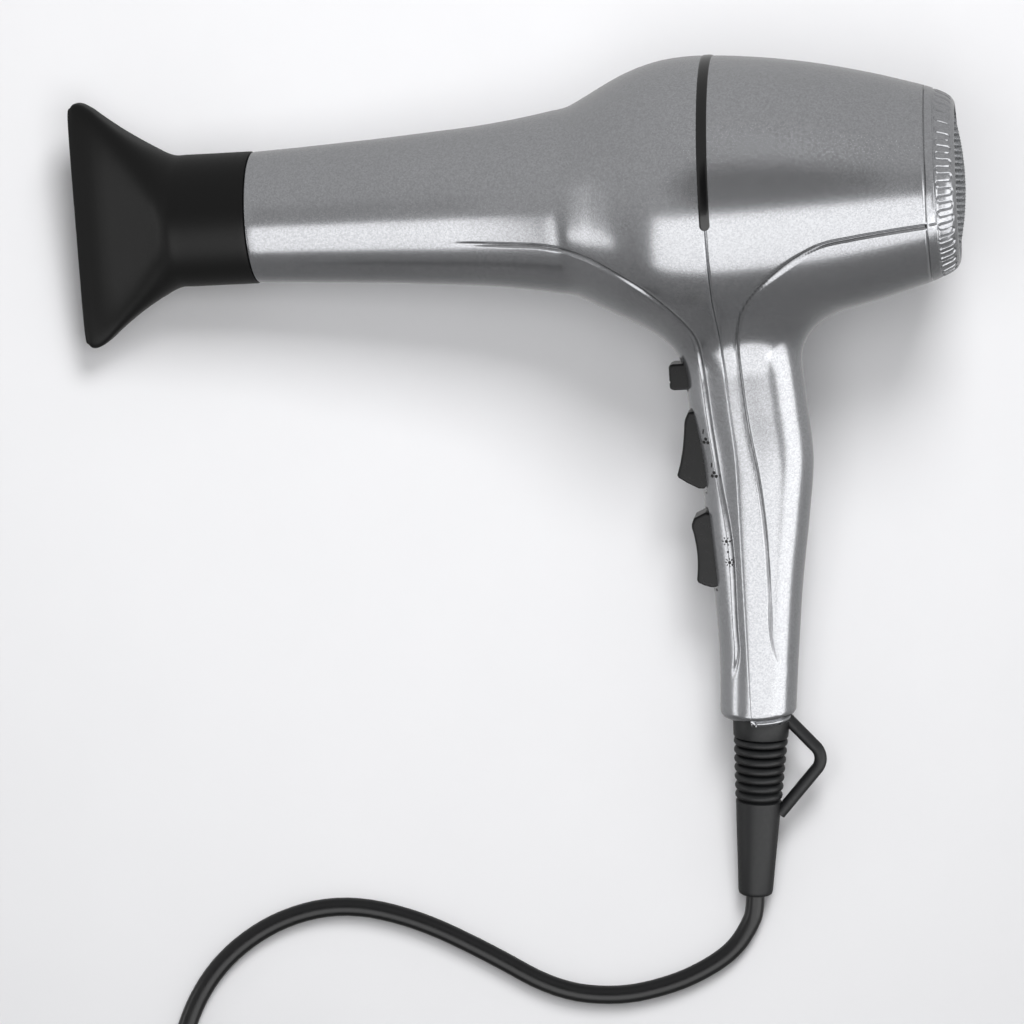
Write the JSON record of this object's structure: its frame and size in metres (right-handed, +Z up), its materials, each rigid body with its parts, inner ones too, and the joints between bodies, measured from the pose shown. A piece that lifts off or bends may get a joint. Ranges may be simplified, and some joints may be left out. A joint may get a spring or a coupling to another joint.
{
  "type": "hair dryer",
  "caption": "Hand-held hair dryer with a flat concentrator nozzle, rocker switches, a rubber strain relief with hanging loop, and a mains cord with plug.",
  "frame": {"origin": "on the floor, under the middle of the lying dryer, cord left out", "axes": "+X along the barrel towards the rear cap, as seen from above; +Z up; the handle points towards -Y"},
  "size_m": [0.3232, 0.4707, 0.1008],
  "materials": {
    "silver_shell": "metallic lacquer on moulded ABS",
    "black_gloss": "gloss moulded",
    "black_nozzle": "fine satin moulded nylon",
    "steel_mesh": "woven wire",
    "mica": "pressed mica board",
    "resistance_wire": "drawn wire",
    "plated_steel": "zinc plated",
    "grey_nylon": "moulded",
    "black_rubber": "moulded",
    "motor_steel": "stacked laminations",
    "copper": "enamelled copper",
    "cast_alloy": "die cast",
    "brass_fittings": "turned",
    "carbon": "pressed carbon",
    "black_switch": "fine satin moulded",
    "wire_sleeve": "extruded",
    "cord_sheath": "extruded rubber sheath",
    "plug_plastic": "moulded",
    "nickel_pins": "nickel plated brass"
  },
  "bodies": {
    "housing": {"front_shell": "silver_shell", "rear_shell": "silver_shell", "accent_band": "black_gloss", "outlet_grille": "black_nozzle", "heater_frame": "mica", "heating_coil": "resistance_wire", "heater_sleeve": "mica", "thermostat": "black_nozzle", "thermal_fuse": "plated_steel", "fan_duct": "grey_nylon", "duct_dampers": "black_rubber", "motor_stator": "motor_steel", "field_coils": "copper", "motor_rear_bracket": "cast_alloy", "motor_front_bracket": "cast_alloy", "motor_bearings": "plated_steel", "brush_holders": "brass_fittings", "carbon_brushes": "carbon", "speed_switch": "black_switch", "heat_switch": "black_switch", "rocker_pins": "plated_steel", "cool_switch": "black_switch", "terminal_block": "grey_nylon", "wiring_loom": "wire_sleeve", "strain_relief": "black_rubber", "cord_lead_in": "cord_sheath", "cord_clamp": "grey_nylon", "clamp_screws": "plated_steel", "cord_tube": "cord_sheath", "cord_coil": "cord_sheath", "cord_tail": "cord_sheath", "plug_body": "plug_plastic", "plug_pins": "nickel_pins"},
    "nozzle": {"concentrator_nozzle": "black_nozzle"},
    "rear_cap": {"rear_cap_ring": "silver_shell", "filter_frame": "black_nozzle", "filter_mesh": "steel_mesh"},
    "rotor": {"motor_armature": "motor_steel", "commutator": "copper", "motor_shaft": "plated_steel", "fan_impeller": "grey_nylon", "fan_nut": "brass_fittings"},
    "speed_control": {"speed_rocker": "black_switch"},
    "heat_control": {"heat_rocker": "black_switch"},
    "cool_control": {"cool_button": "black_switch", "button_spring": "plated_steel"}
  },
  "joints": [
    {"name": "nozzle_swivel", "type": "hinge", "parent": "housing", "child": "nozzle", "pos_m": [-0.10114, 0.10374, 0.02708], "axis": [0.9908, 0, 0.1354], "continuous": true},
    {"name": "rear_cap_twist", "type": "hinge", "parent": "housing", "child": "rear_cap", "pos_m": [0.1426, 0.10374, 0.06038], "axis": [0.9908, 0, 0.1354], "range_deg": [0, 25]},
    {"name": "fan_spin", "type": "hinge", "parent": "housing", "child": "rotor", "pos_m": [0.0673, 0.10374, 0.05009], "axis": [0.9908, 0, 0.1354], "continuous": true},
    {"name": "speed_rock", "type": "hinge", "parent": "housing", "child": "speed_control", "pos_m": [0.07044, 0.01312, 0.03449], "axis": [-0.1333, -0.1726, 0.9759], "range_deg": [0, 14]},
    {"name": "heat_rock", "type": "hinge", "parent": "housing", "child": "heat_control", "pos_m": [0.07398, -0.02332, 0.02853], "axis": [-0.1333, -0.1726, 0.9759], "range_deg": [-7, 7]},
    {"name": "cool_press", "type": "slide", "parent": "housing", "child": "cool_control", "axis": [0.9908, 0, 0.1354], "range_m": [0, 0.003], "stiffness_N_per_m": 300, "springref_m": -0.002}
  ]
}
